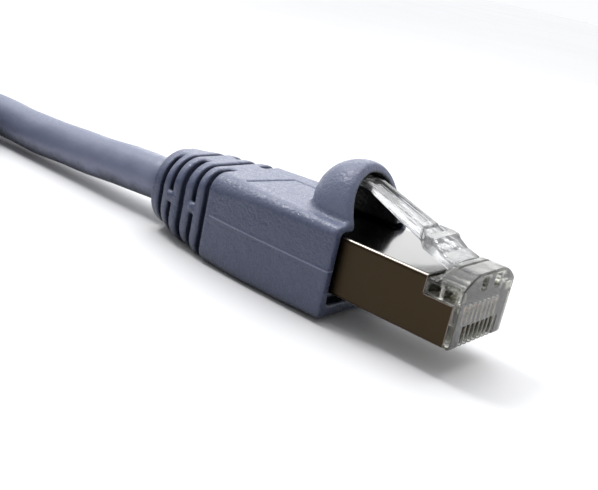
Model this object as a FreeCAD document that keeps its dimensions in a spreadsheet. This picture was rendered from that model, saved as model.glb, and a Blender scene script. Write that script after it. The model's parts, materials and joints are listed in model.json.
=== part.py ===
import FreeCAD, Part
import math
import os
import Sketcher
from FreeCAD import Placement, Rotation, Vector

# Shielded 8P8C patch lead: a snagless plug on each end of a three-foot round cable.
# Each end is drawn in its own plug frame: the nose face is x = 0 and the nose points to +X,
# y = 0 is the mid-plane, and z = 0 is the underside of the plug with the latch above it.
# The near plug's frame is then lifted and moved so that the origin of the part is the middle
# of the near plug and boot, on the surface that the lead lies on.

DRIVING_SIZES = {
    # The plug and the boot as a whole.
    "plug_lift": 3.4,
    "boot_end": 47.2,
    "fit_gap": 0.05,
    # Clear housing.
    "plug_width": 11.68,
    "plug_length": 21.5,
    "nose_length": 4.4,
    "belly_end": 7.2,
    "shoulder_top": 6.68,
    "brow_top": 7.8,
    "brow_half": 4.25,
    "brow_pocket": 1.1,
    "brow_pocket_edge": 0.9,
    "brow_pocket_deep": 1.6,
    "root_top": 8.2,
    "root_half": 3.2,
    "root_length": 3.3,
    "window_long": 1.4,
    "window_pitch": 1.9,
    "window_tall": 1.05,
    "window_base": 5.15,
    "window_deep": 1.5,
    "cavity_half": 4.9,
    "cavity_floor": 0.95,
    "cavity_roof": 5.9,
    "cavity_front": 9.2,
    # Contacts and the slots that they sit in.
    "contact_pitch": 1.02,
    "blade_thick": 0.34,
    "blade_front": 1.2,
    "blade_rear": 6.0,
    "blade_base": 0.6,
    "blade_top": 3.1,
    "tine_base": 0.9,
    "slot_wide": 0.6,
    "slot_tall": 2.4,
    "slot_long": 6.3,
    # Insulated wires, the bar that sorts them and the bundle that they run back into.
    "wire_thick": 0.92,
    "copper_thick": 0.5,
    "wire_height": 4.2,
    "wire_end": 25.0,
    "bar_front": 9.4,
    "bar_rear": 13.2,
    "bar_half": 4.8,
    "bar_base": 2.9,
    "bar_top": 5.5,
    "wire_fan": 17.2,
    "wire_drop": 1.3,
    "wire_drop_run": 2.4,
    "bundle_front": 21.0,
    "bundle_step": 0.96,
    "core_height": 3.3,
    # Latch lever.
    "latch_half": 3.0,
    "latch_tail_half": 1.8,
    "latch_base": 7.05,
    "latch_foot": 5.0,
    "latch_foot_rise": 0.45,
    "latch_step": 6.5,
    "latch_step_rise": 1.6,
    "latch_hook": 7.6,
    "latch_hook_rise": 1.75,
    "latch_knee": 11.2,
    "latch_knee_rise": 1.4,
    "latch_bend": 16.8,
    "latch_rise": 4.5,
    "latch_end": 18.8,
    "latch_thick": 0.85,
    "latch_channel": 1.9,
    "latch_channel_deep": 0.4,
    # Shield shell.
    "shield_thick": 0.25,
    "shield_half": 5.88,
    "shield_top": 6.92,
    "shield_front": 0.7,
    "shield_rear": 21.8,
    "notch_back": 4.45,
    "notch_height": 4.78,
    "barrel_length": 5.6,
    "barrel_radius": 3.8,
    # Foil, folded braid and jacket inside the barrel.
    "foil_radius": 2.3,
    "foil_wall": 0.15,
    "foil_front": 22.2,
    "braid_radius": 3.5,
    "braid_front": 22.6,
    "braid_length": 2.6,
    "cable_thick": 6.2,
    "jacket_wall": 0.65,
    "jacket_front": 22.5,
    "cable_height": 2.05,
    "jacket_drop": 27.6,
    "jacket_level": 32.6,
    # Boot.
    "boot_front": 15.5,
    "boot_half": 7.42,
    "boot_top": 8.2,
    "boot_mouth_base": 2.65,
    "relief_front": 36.0,
    "relief_half": 7.0,
    "relief_top": 8.1,
    "tip_half": 5.35,
    "tip_top": 7.25,
    "tip_base": 3.05,
    "socket_half": 6.05,
    "socket_base": 0.35,
    "socket_top": 7.3,
    "socket_end": 24.0,
    "throat_front": 21.5,
    "throat_half": 4.4,
    "throat_base": 1.3,
    "throat_end": 34.5,
    "tip_collar": 1.65,
    "slot_pitch": 2.3,
    "slot_cut": 0.9,
    "slot_deep": 1.3,
    "side_bridge": 0.9,
    "top_bridge": 5.0,
    "hood_radius": 5.4,
    "hood_wall": 1.15,
    "hood_centre": 18.4,
    "hood_spring": 9.2,
    "hood_lean": 0.32,
    # Cable between the plugs, stored as a flat coil held by one strap.
    "coil_radius": 32.0,
    "coil_step": 6.4,
    "coil_lift": 0.5,
    "coil_distance": 87.4,
    "coil_entry": 65.4,
    "far_boot_distance": 62.4,
    "strap_width": 12.0,
    "strap_thick": 0.5,
}

CONTACTS = 8
RIB_SLOTS = 5
# Radii of the lower and upper corners of the boot, from its mouth to its tip.
BOOT_CORNERS = {"mouth": (0.9, 1.6), "middle": (1.3, 2.2), "relief": (2.2, 3.0), "tip": (4.6, 4.8)}
WIRE_COLOURS = (
    "white_orange", "orange", "white_green", "blue", "white_blue", "green", "white_brown", "brown",
)

document = FreeCAD.newDocument("patch_lead")
sizes = document.addObject("Spreadsheet::Sheet", "sizes")
finished = []


def fill_sheet():
    for row, (alias, value) in enumerate(DRIVING_SIZES.items(), 1):
        sizes.set(f"A{row}", alias)
        sizes.set(f"B{row}", str(value))
        sizes.setAlias(f"B{row}", alias)
    document.recompute()


def size(alias):
    return float(sizes.get(alias))


# ---------------------------------------------------------------- sketches and features


def new_body(label, place):
    body = document.addObject("PartDesign::Body", label)
    body.Label = label
    body.Placement = place
    finished.append(body)
    return body


def new_sketch(body, role, name, offset=None):
    """A sketch on one of the body's own origin planes, moved along the plane's normal."""
    sketch = body.newObject("Sketcher::SketchObject", name)
    plane = next(f for f in body.Origin.OriginFeatures if f.Role == role)
    sketch.AttachmentSupport = [(plane, "")]
    sketch.MapMode = "FlatFace"
    if offset:
        sketch.setExpression("AttachmentOffset.Base.z", offset)
    return sketch


def pin_point(sketch, curve, end, across, up):
    """Holds one end of a curve at two expressions, measured from the sketch's origin."""
    for kind, expression in (("DistanceX", across), ("DistanceY", up)):
        index = sketch.addConstraint(Sketcher.Constraint(kind, -1, 1, curve, end, 1.0))
        sketch.setExpression(f"Constraints[{index}]", expression)


def add_polygon(sketch, corners):
    first = sketch.GeometryCount
    count = len(corners)
    spread = [2 * math.pi * k / count for k in range(count)]
    start = [Vector(10 * math.cos(a), 10 * math.sin(a), 0) for a in spread]
    for k in range(count):
        sketch.addGeometry(Part.LineSegment(start[k], start[(k + 1) % count]))
    for k in range(count):
        sketch.addConstraint(
            Sketcher.Constraint("Coincident", first + k, 2, first + (k + 1) % count, 1)
        )
    for k, (across, up) in enumerate(corners):
        pin_point(sketch, first + k, 1, across, up)


def add_rectangle(sketch, left, right, low, high):
    add_polygon(sketch, [(left, low), (right, low), (right, high), (left, high)])


def add_circle(sketch, across, up, radius):
    index = sketch.addGeometry(Part.Circle(Vector(1, 1, 0), Vector(0, 0, 1), 1.0))
    pin_point(sketch, index, 3, across, up)
    held = sketch.addConstraint(Sketcher.Constraint("Radius", index, 1.0))
    sketch.setExpression(f"Constraints[{held}]", radius)


def add_soft_rectangle(sketch, half, low, high, low_round, high_round):
    """A rectangle about the sketch's vertical axis with rounded corners, from plain numbers."""
    w, b, t = half, low, high
    p, q = low_round, high_round
    straight = [
        ((-w + p, b), (w - p, b)), ((w, b + p), (w, t - q)),
        ((w - q, t), (-w + q, t)), ((-w, t - q), (-w, b + p)),
    ]
    corners = [
        ((w - p, b + p), p, 270), ((w - q, t - q), q, 0),
        ((-w + q, t - q), q, 90), ((-w + p, b + p), p, 180),
    ]
    for (ax, ay), (bx, by) in straight:
        sketch.addGeometry(Part.LineSegment(Vector(ax, ay, 0), Vector(bx, by, 0)))
    for (cx, cy), radius, angle in corners:
        ring = Part.Circle(Vector(cx, cy, 0), Vector(0, 0, 1), radius)
        turn = math.radians(angle)
        sketch.addGeometry(Part.ArcOfCircle(ring, turn, turn + math.pi / 2))
    for k in range(4):
        sketch.addConstraint(Sketcher.Constraint("Tangent", k, 2, 4 + k, 1))
        sketch.addConstraint(Sketcher.Constraint("Tangent", 4 + k, 2, (k + 1) % 4, 1))
    for k in (0, 2):
        sketch.addConstraint(Sketcher.Constraint("Horizontal", k))
    for k in (1, 3):
        sketch.addConstraint(Sketcher.Constraint("Vertical", k))


def pad(body, sketch, length, reverse=False, midplane=False):
    feature = body.newObject("PartDesign::Pad", "Pad")
    feature.Profile = sketch
    feature.setExpression("Length", length)
    feature.Reversed = reverse
    feature.Midplane = midplane
    return feature


def pocket(body, sketch, length, reverse=False, midplane=False):
    """Cuts a sketch out of the body, and stops if it cuts nothing."""
    document.recompute()
    before = body.Shape.Volume
    feature = body.newObject("PartDesign::Pocket", "Pocket")
    feature.Profile = sketch
    feature.setExpression("Length", length)
    feature.Reversed = reverse
    feature.Midplane = midplane
    document.recompute()
    if body.Shape.Volume > before - 1e-6:
        raise RuntimeError(f"{body.Label}: {sketch.Name} cuts nothing")
    return feature


def repeat_along_y(body, feature):
    """One copy of the feature for each contact, towards +Y."""
    pattern = body.newObject("PartDesign::LinearPattern", "Pattern")
    pattern.Originals = [feature]
    axis = next(f for f in body.Origin.OriginFeatures if f.Role == "Y_Axis")
    pattern.Direction = (axis, [""])
    pattern.setExpression("Length", f"{CONTACTS - 1} * sizes.contact_pitch")
    pattern.Occurrences = CONTACTS
    body.Tip = pattern
    document.recompute()
    return pattern


def mirror_across_y(body, features):
    mirrored = body.newObject("PartDesign::Mirrored", "Mirror")
    mirrored.Originals = features
    plane = next(f for f in body.Origin.OriginFeatures if f.Role == "XZ_Plane")
    mirrored.MirrorPlane = (plane, [""])
    body.Tip = mirrored
    document.recompute()
    return mirrored


# Expressions that several pieces share.
FIRST_CONTACT = f"{(CONTACTS - 1) / 2} * sizes.contact_pitch"
INSIDE_SHELL = "(sizes.shield_half - sizes.shield_thick - sizes.fit_gap)"
SHELL_FLOOR = "(sizes.shield_thick + sizes.fit_gap)"
SHELL_ROOF = "(sizes.shield_top - sizes.shield_thick - sizes.fit_gap)"


# ---------------------------------------------------------------- plain solids


def add_shape(label, shape, place):
    """A named piece whose outline is a sweep, built from sizes read from the sheet."""
    piece = document.addObject("Part::Feature", label)
    piece.Label = label
    piece.Shape = shape
    piece.Placement = place
    finished.append(piece)
    return piece


def rounded_path(points):
    """Straight runs through the points, with an arc in place of each corner."""
    starts = [points[0]]
    edges = []
    for before, corner, after in zip(points, points[1:], points[2:]):
        back = (before - corner).normalize()
        ahead = (after - corner).normalize()
        run = 0.45 * min((before - corner).Length, (after - corner).Length)
        enter = corner + back * run
        leave = corner + ahead * run
        half_turn = (math.pi - back.getAngle(ahead)) / 2
        bend_radius = run / math.tan(half_turn)
        rise = bend_radius / math.cos(half_turn) - bend_radius
        middle = (back + ahead).normalize()
        edges.append(Part.LineSegment(starts[-1], enter).toShape())
        edges.append(Part.Arc(enter, corner + middle * rise, leave).toShape())
        starts.append(leave)
    edges.append(Part.LineSegment(starts[-1], points[-1]).toShape())
    return Part.Wire(edges)


def tube_along(points, radius):
    path = rounded_path(points)
    start = Part.Circle(points[0], points[1] - points[0], radius)
    outline = Part.Wire([start.toShape()])
    return path.makePipeShell([outline], True, False)


# ---------------------------------------------------------------- pieces of one plug


def make_housing(end, place):
    """The clear housing: nose, contact slots, wire channels and the cavity behind them."""
    body = new_body(f"{end}_plug_housing", place)
    half = "sizes.plug_width / 2"

    nose = new_sketch(body, "YZ_Plane", "nose_face")
    add_polygon(nose, [
        (f"-{half}", "0"), (half, "0"), (half, "sizes.shoulder_top"),
        ("sizes.brow_half", "sizes.brow_top"), ("sizes.root_half", "sizes.root_top"),
        ("-sizes.root_half", "sizes.root_top"), ("-sizes.brow_half", "sizes.brow_top"),
        (f"-{half}", "sizes.shoulder_top"),
    ])
    pad(body, nose, "sizes.nose_length", reverse=True)

    rear = new_sketch(body, "YZ_Plane", "rear_block", "-sizes.nose_length")
    add_rectangle(rear, f"-{INSIDE_SHELL}", INSIDE_SHELL, SHELL_FLOOR, SHELL_ROOF)
    pad(body, rear, "sizes.plug_length - sizes.nose_length", reverse=True)

    belly = new_sketch(body, "YZ_Plane", "belly", "-sizes.nose_length")
    add_rectangle(belly, f"-{INSIDE_SHELL}", INSIDE_SHELL, "0", SHELL_FLOOR + " + 0.1")
    pad(body, belly, "sizes.belly_end - sizes.nose_length", reverse=True)

    seat = new_sketch(body, "XZ_Plane", "latch_seat")
    add_rectangle(
        seat, "-sizes.nose_length - 1", "-sizes.root_length", SHELL_ROOF, "sizes.root_top + 1"
    )
    pocket(body, seat, "sizes.plug_width + 1", midplane=True)

    flank = new_sketch(body, "YZ_Plane", "shell_flanks", "sizes.fit_gap - sizes.shield_front")
    for side in ("", "-"):
        add_rectangle(
            flank, f"{side}{INSIDE_SHELL}", f"{side}sizes.plug_width", "-1",
            "sizes.notch_height + sizes.fit_gap",
        )
    pocket(body, flank, "sizes.nose_length")

    windows = new_sketch(body, "XZ_Plane", "side_windows", f"sizes.window_deep - {half}")
    for gap in ("sizes.shield_front", "sizes.shield_front + sizes.window_pitch"):
        add_rectangle(
            windows, f"-({gap}) - sizes.window_long", f"-({gap})",
            "sizes.window_base", "sizes.window_base + sizes.window_tall",
        )
    first_side = pocket(body, windows, "sizes.window_deep + 1")
    mirror_across_y(body, [first_side])

    cavity = new_sketch(body, "YZ_Plane", "rear_cavity", "-sizes.plug_length")
    add_rectangle(
        cavity, "-sizes.cavity_half", "sizes.cavity_half", "sizes.cavity_floor",
        "sizes.cavity_roof",
    )
    pocket(body, cavity, "sizes.plug_length - sizes.cavity_front", reverse=True)

    brow = new_sketch(body, "YZ_Plane", "brow_pockets")
    for side in ("", "-"):
        add_rectangle(
            brow, f"{side}sizes.brow_pocket_edge",
            f"{side}(sizes.brow_pocket_edge + sizes.brow_pocket)",
            "sizes.shoulder_top - 0.4", "sizes.brow_top - 0.1",
        )
    pocket(body, brow, "sizes.brow_pocket_deep")

    slot = new_sketch(body, "XZ_Plane", "contact_slot", FIRST_CONTACT)
    add_rectangle(slot, "-sizes.slot_long", "1", "-1", "sizes.slot_tall")
    repeat_along_y(body, pocket(body, slot, "sizes.slot_wide", midplane=True))

    slit = new_sketch(body, "XZ_Plane", "blade_slit", FIRST_CONTACT)
    add_rectangle(
        slit, "-sizes.blade_rear - sizes.fit_gap", "-sizes.blade_front + sizes.fit_gap", "1",
        "sizes.wire_height",
    )
    repeat_along_y(body, pocket(body, slit, "sizes.blade_thick + 0.02", midplane=True))

    channel = new_sketch(body, "YZ_Plane", "wire_channel", "-sizes.cavity_front - 0.5")
    add_circle(channel, f"-({FIRST_CONTACT})", "sizes.wire_height", "sizes.wire_thick / 2 + 0.02")
    length = "sizes.cavity_front + 0.5 - sizes.blade_front"
    repeat_along_y(body, pocket(body, channel, length, reverse=True))


def make_latch(end, place):
    """The clear lever that hooks into a jack, free at its tail and sprung at its root."""
    body = new_body(f"{end}_latch", place)
    side = new_sketch(body, "XZ_Plane", "side_view")
    root = "-sizes.root_length - sizes.fit_gap"
    hook = "-sizes.latch_hook"
    tail = "-sizes.latch_end"
    foot = "-sizes.latch_foot"
    step = "-sizes.latch_step"
    knee = "-sizes.latch_knee"
    bend = "-sizes.latch_bend"
    crest = "sizes.root_top + sizes.latch_rise"
    add_polygon(side, [
        (root, "sizes.latch_base"), (root, "sizes.root_top"),
        (foot, "sizes.root_top + sizes.latch_foot_rise"),
        (step, "sizes.root_top + sizes.latch_step_rise"),
        (hook, "sizes.root_top + sizes.latch_hook_rise"), (bend, crest), (tail, crest),
        (tail, f"{crest} - sizes.latch_thick"), (bend, f"{crest} - sizes.latch_thick"),
        (knee, "sizes.root_top + sizes.latch_knee_rise"), (hook, "sizes.root_top + 0.1"),
    ])
    pad(body, side, "2 * sizes.latch_half", midplane=True)

    waist = new_sketch(body, "XY_Plane", "tail_waist")
    for side_sign in ("", "-"):
        add_rectangle(
            waist, f"{tail} - 1", hook, f"{side_sign}sizes.latch_tail_half",
            f"{side_sign}sizes.latch_half * 2",
        )
    pocket(body, waist, "sizes.latch_end", reverse=True)

    under = new_sketch(body, "XZ_Plane", "underside_channel")
    deep = "sizes.latch_channel_deep"
    start = f"{hook} - 0.7"
    add_polygon(under, [
        (start, "sizes.root_top - 1"), (start, f"sizes.root_top + 0.35 + {deep}"),
        (knee, f"sizes.root_top + sizes.latch_knee_rise + {deep}"),
        (bend, f"{crest} - sizes.latch_thick + {deep}"), (bend, "sizes.root_top - 1"),
    ])
    pocket(body, under, "sizes.latch_channel", midplane=True)


def make_shield(end, place):
    """The folded sheet-metal shell, with the crimp barrel that grips the braid."""
    body = new_body(f"{end}_shield_shell", place)
    inner = "(sizes.shield_half - sizes.shield_thick)"

    outside = new_sketch(body, "YZ_Plane", "outside", "-sizes.shield_front")
    add_rectangle(outside, "-sizes.shield_half", "sizes.shield_half", "0", "sizes.shield_top")
    pad(body, outside, "sizes.shield_rear - sizes.shield_front", reverse=True)

    inside = new_sketch(body, "YZ_Plane", "inside")
    add_rectangle(
        inside, f"-{inner}", inner, "sizes.shield_thick", "sizes.shield_top - sizes.shield_thick"
    )
    pocket(body, inside, "sizes.shield_rear - sizes.shield_thick")

    notch = new_sketch(body, "XZ_Plane", "latch_notch")
    add_rectangle(notch, "-sizes.notch_back", "1", "sizes.notch_height", "sizes.shield_top + 1")
    pocket(body, notch, "3 * sizes.shield_half", midplane=True)

    belly = new_sketch(body, "XZ_Plane", "belly_opening")
    add_rectangle(belly, "-sizes.belly_end - sizes.fit_gap", "1", "-1", "sizes.shield_thick")
    pocket(body, belly, f"2 * {inner}", midplane=True)

    barrel = new_sketch(body, "YZ_Plane", "barrel", "-sizes.shield_rear")
    add_circle(barrel, "0", "sizes.core_height", "sizes.barrel_radius")
    pad(body, barrel, "sizes.barrel_length", reverse=True)

    bore = new_sketch(body, "YZ_Plane", "barrel_bore", "-sizes.shield_rear + 1")
    add_circle(bore, "0", "sizes.core_height", "sizes.barrel_radius - sizes.shield_thick")
    pocket(body, bore, "sizes.barrel_length + 2")


def make_contacts(end, place):
    """Eight identical stamped blades; their tines pierce the wires from below."""
    body = new_body(f"{end}_contacts", place)
    body.AllowCompound = True
    blade = new_sketch(body, "XZ_Plane", "blade", FIRST_CONTACT)
    front = "-sizes.blade_front"
    rear = "-sizes.blade_rear"
    tine_tip = "sizes.wire_height - sizes.copper_thick / 2"
    middle = "-(sizes.blade_front + sizes.blade_rear) / 2"
    add_polygon(blade, [
        (f"{front} - 0.5", "sizes.blade_base"), (front, "sizes.blade_base + 0.5"),
        (front, "sizes.blade_top"), (front, tine_tip),
        (f"{front} - sizes.tine_base", "sizes.blade_top"),
        (f"{middle} + sizes.tine_base / 2", "sizes.blade_top"), (middle, tine_tip),
        (f"{middle} - sizes.tine_base / 2", "sizes.blade_top"),
        (f"{rear} + sizes.tine_base", "sizes.blade_top"), (rear, tine_tip),
        (rear, "sizes.blade_base + 0.3"), (f"{rear} + 0.3", "sizes.blade_base"),
    ])
    feature = pad(body, blade, "sizes.blade_thick", midplane=True)
    repeat_along_y(body, feature)


def make_load_bar(end, place):
    """The clear bar that holds the eight wires in order behind the contacts."""
    body = new_body(f"{end}_load_bar", place)
    block = new_sketch(body, "YZ_Plane", "block", "-sizes.bar_front")
    add_rectangle(block, "-sizes.bar_half", "sizes.bar_half", "sizes.bar_base", "sizes.bar_top")
    pad(body, block, "sizes.bar_rear - sizes.bar_front", reverse=True)
    hole = new_sketch(body, "YZ_Plane", "wire_hole", "-sizes.bar_front + 1")
    add_circle(hole, f"-({FIRST_CONTACT})", "sizes.wire_height", "sizes.wire_thick / 2 + 0.02")
    repeat_along_y(body, pocket(body, hole, "sizes.bar_rear"))


def wire_route(number):
    """Centre line of one wire, from its tip in the nose back to the twisted bundle."""
    lane = (number - (CONTACTS - 1) / 2) * size("contact_pitch")
    column = (number // 2 - 1.5) * size("bundle_step")
    level = size("wire_height")
    front = -size("blade_front") - size("fit_gap")
    leave = -size("wire_fan")
    route = [Vector(front, lane, level)]
    if number % 2:
        bundled = size("core_height") + size("bundle_step") / 2 + 0.02
        route.append(Vector(leave, lane, level))
    else:
        bundled = size("core_height") - size("bundle_step") / 2 - 0.02
        route.append(Vector(leave + size("wire_drop_run"), lane, level))
        route.append(Vector(leave, lane, level - size("wire_drop")))
    route.append(Vector(-size("bundle_front"), column, bundled))
    route.append(Vector(-size("wire_end"), column, bundled))
    return route


def make_wires(end, place):
    """Eight insulated wires, each a tube of insulation, and the group of their copper cores."""
    cores = []
    for number, colour in enumerate(WIRE_COLOURS):
        route = wire_route(number)
        copper = tube_along(route, size("copper_thick") / 2)
        insulation = tube_along(route, size("wire_thick") / 2)
        add_shape(f"{end}_wire_{colour}", insulation.cut(copper), place)
        cores.append(copper)
    add_shape(f"{end}_copper_cores", Part.makeCompound(cores), place)


def add_sleeve(label, place, start, length, outer_radius, wall):
    """A round sleeve about the cable's core, drawn backwards from its front end."""
    body = new_body(label, place)
    ring = new_sketch(body, "YZ_Plane", "ring", f"-sizes.{start}")
    add_circle(ring, "0", "sizes.core_height", outer_radius)
    add_circle(ring, "0", "sizes.core_height", f"{outer_radius} - {wall}")
    pad(body, ring, length, reverse=True)


def make_cable_end(end, place):
    """Foil, folded-back braid and the last stretch of jacket, hidden in the boot."""
    add_sleeve(
        f"{end}_foil_wrap", place, "foil_front", "sizes.wire_end - sizes.foil_front",
        "sizes.foil_radius", "sizes.foil_wall",
    )
    add_sleeve(
        f"{end}_braid_fold", place, "braid_front", "sizes.braid_length",
        "sizes.braid_radius", "(sizes.braid_radius - sizes.cable_thick / 2 - 0.02)",
    )
    route = [
        Vector(-size("jacket_front"), 0, size("core_height")),
        Vector(-size("jacket_drop"), 0, size("core_height")),
        Vector(-size("jacket_level"), 0, size("cable_height")),
        Vector(-size("boot_end"), 0, size("cable_height")),
    ]
    radius = size("cable_thick") / 2
    jacket = tube_along(route, radius).cut(tube_along(route, radius - size("jacket_wall")))
    add_shape(f"{end}_jacket_end", jacket, place)


# ---------------------------------------------------------------- the boot


def boot_section(body, name, distance, half, low, high):
    sketch = new_sketch(body, "YZ_Plane", name, f"-({distance})")
    add_soft_rectangle(sketch, half, low, high, *BOOT_CORNERS[name])
    return sketch


def between(first, second, share):
    return size(first) + share * (size(second) - size(first))


def cut_ribs(body):
    """Five slots across the strain relief, cut by turns on the flanks and on top and bottom."""
    for number in range(RIB_SLOTS):
        back = size("boot_end") - size("tip_collar") - number * size("slot_pitch")
        share = (size("boot_end") - back) / (size("boot_end") - size("relief_front"))
        deep = size("slot_deep")
        half = between("tip_half", "relief_half", share) - deep
        high = between("tip_top", "relief_top", share) - deep
        low = deep - between("tip_base", "plug_lift", share)
        middle = (high + low) / 2 + size("side_bridge") / 2
        edge = size("top_bridge") / 2
        far = 2 * size("boot_half")
        place = f"sizes.slot_cut - {back:.4f}"
        slot = new_sketch(body, "YZ_Plane", f"rib_slot_{number}", place)
        if number % 2:
            corners = [
                (far, middle), (far, far), (-far, far), (-far, middle),
                (-half, middle), (-half, high), (half, high), (half, middle),
            ]
        else:
            corners = [
                (edge, far), (far, far), (far, -far), (edge, -far),
                (edge, low), (half, low), (half, high), (edge, high),
            ]
        add_polygon(slot, [(f"{across:.4f}", f"{up:.4f}") for across, up in corners])
        cut = pocket(body, slot, "sizes.slot_cut")
        if number % 2:
            under = new_sketch(body, "YZ_Plane", f"rib_slot_under_{number}", place)
            level = middle - size("side_bridge")
            add_polygon(under, [(f"{across:.4f}", f"{up:.4f}") for across, up in [
                (far, level), (half, level), (half, low), (-half, low),
                (-half, level), (-far, level), (-far, -far), (far, -far),
            ]])
            pocket(body, under, "sizes.slot_cut")
        else:
            mirror_across_y(body, [cut])


def add_dome(body, kind, radius, foot):
    """A round-backed hood shape, open to the front, either added to the body or cut from it."""
    add, reverse = (pad, False) if kind == "Additive" else (pocket, True)
    plan = new_sketch(body, "XY_Plane", f"{kind}_plan", foot)
    add_circle(plan, "-sizes.hood_centre", "0", radius)
    add(body, plan, f"sizes.hood_spring - ({foot})", reverse)
    sides = new_sketch(body, "YZ_Plane", f"{kind}_sides", "-sizes.hood_centre")
    add_rectangle(sides, f"-{radius}", radius, foot, "sizes.hood_spring")
    add(body, sides, "sizes.hood_radius", reverse)
    crown = new_sketch(body, "YZ_Plane", f"{kind}_crown", "-sizes.hood_centre")
    add_circle(crown, "0", "sizes.hood_spring", radius)
    add(body, crown, "sizes.hood_radius", reverse)
    ball = body.newObject(f"PartDesign::{kind}Sphere", "Ball")
    plane = next(f for f in body.Origin.OriginFeatures if f.Role == "XY_Plane")
    ball.AttachmentSupport = [(plane, "")]
    ball.MapMode = "FlatFace"
    ball.setExpression("Radius", radius)
    ball.setExpression("AttachmentOffset.Base.x", "-sizes.hood_centre")
    ball.setExpression("AttachmentOffset.Base.z", "sizes.hood_spring")
    document.recompute()


def make_boot(end, place):
    """The moulded boot: socket for the plug, hood over the latch, ribbed strain relief."""
    body = new_body(f"{end}_boot", place)
    base = -size("plug_lift")
    first = boot_section(
        body, "mouth", "sizes.boot_front", size("boot_half"), -size("boot_mouth_base"),
        size("boot_top"),
    )
    others = [
        boot_section(body, "middle", "2 * sizes.boot_front", size("boot_half") - 0.07,
                     base, size("boot_top")),
        boot_section(body, "relief", "sizes.relief_front", size("relief_half"), base,
                     size("relief_top")),
        boot_section(body, "tip", "sizes.boot_end", size("tip_half"), -size("tip_base"),
                     size("tip_top")),
    ]
    loft = body.newObject("PartDesign::AdditiveLoft", "Loft")
    loft.Profile = first
    loft.Sections = others
    loft.Ruled = True

    add_dome(body, "Additive", "sizes.hood_radius", "sizes.socket_top + 0.3")

    socket = new_sketch(body, "YZ_Plane", "socket", "-sizes.boot_front + 1")
    add_rectangle(
        socket, "-sizes.socket_half", "sizes.socket_half", "-sizes.socket_base", "sizes.socket_top"
    )
    pocket(body, socket, "sizes.socket_end - sizes.boot_front + 1")
    throat = new_sketch(body, "YZ_Plane", "throat", "-sizes.throat_front")
    add_rectangle(
        throat, "-sizes.throat_half", "sizes.throat_half", "-sizes.throat_base", "sizes.socket_top"
    )
    pocket(body, throat, "sizes.throat_end - sizes.throat_front")
    bore = new_sketch(body, "YZ_Plane", "cable_bore", "-sizes.throat_end + 1")
    add_circle(bore, "0", "sizes.cable_height", "sizes.cable_thick / 2 + sizes.fit_gap")
    pocket(body, bore, "sizes.boot_end")

    add_dome(body, "Subtractive", "(sizes.hood_radius - sizes.hood_wall)", "sizes.socket_top - 0.2")

    rim = new_sketch(body, "XZ_Plane", "hood_rim")
    crown = "sizes.hood_spring + 2 * sizes.hood_radius"
    add_polygon(rim, [
        ("-sizes.boot_front", "-sizes.boot_top"), ("0", "-sizes.boot_top"), ("0", crown),
        (f"-sizes.boot_front - sizes.hood_lean * ({crown} - sizes.boot_top)", crown),
        ("-sizes.boot_front", "sizes.boot_top"),
    ])
    pocket(body, rim, "3 * sizes.hood_radius", midplane=True)
    cut_ribs(body)


# ---------------------------------------------------------------- the cable between the plugs


def coil_centre():
    return Vector(-size("coil_distance"), -size("coil_radius") - size("coil_step") / 2, 0)


def make_cable():
    """The runs from the near boot to the coil and from the coil to the far boot."""
    radius = size("cable_thick") / 2
    straight = 10.8
    landing = 15.0
    rise_run = 7.5
    level = radius + size("coil_lift")
    exit_x = -size("boot_end") + PLUG_MIDDLE
    exit_z = size("cable_height") + size("plug_lift")
    entry = -size("coil_entry")
    route = [
        Vector(exit_x + 0.3, 0, exit_z), Vector(exit_x - straight, 0, exit_z - 0.55),
        Vector(entry + landing, 0, level), Vector(entry, 0, level),
    ]
    run = tube_along(route, radius)
    print_cord("cable_run", route, run, radius)
    behind_boot = Part.makeBox(-entry, 20, 20, Vector(exit_x + entry, -10, 0))
    add_shape("cable_run", run.common(behind_boot), Placement())

    centre = coil_centre()
    far_y = 2 * centre.y - size("coil_step")
    far_x = -size("far_boot_distance")
    tail_route = [
        Vector(centre.x, far_y, level), Vector(centre.x + rise_run, far_y, level),
        Vector(far_x - rise_run, far_y, exit_z), Vector(far_x, far_y, exit_z),
    ]
    tail = tube_along(tail_route, radius)
    print_cord("cable_tail", tail_route, tail, radius)
    add_shape("cable_tail", tail, Placement())


def print_cord(name, points, shape, radius):
    """Prints each bend's radius, and compares the volume with the section times the length."""
    edges = rounded_path(points).Edges
    length = sum(edge.Length for edge in edges)
    bends = [f"{edge.Curve.Radius:.0f}" for edge in edges if hasattr(edge.Curve, "Radius")]
    expected = math.pi * radius ** 2 * length
    print(f"{name}: {length:.1f} mm, bend radii {bends}, volume {shape.Volume / expected:.4f}")


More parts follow.
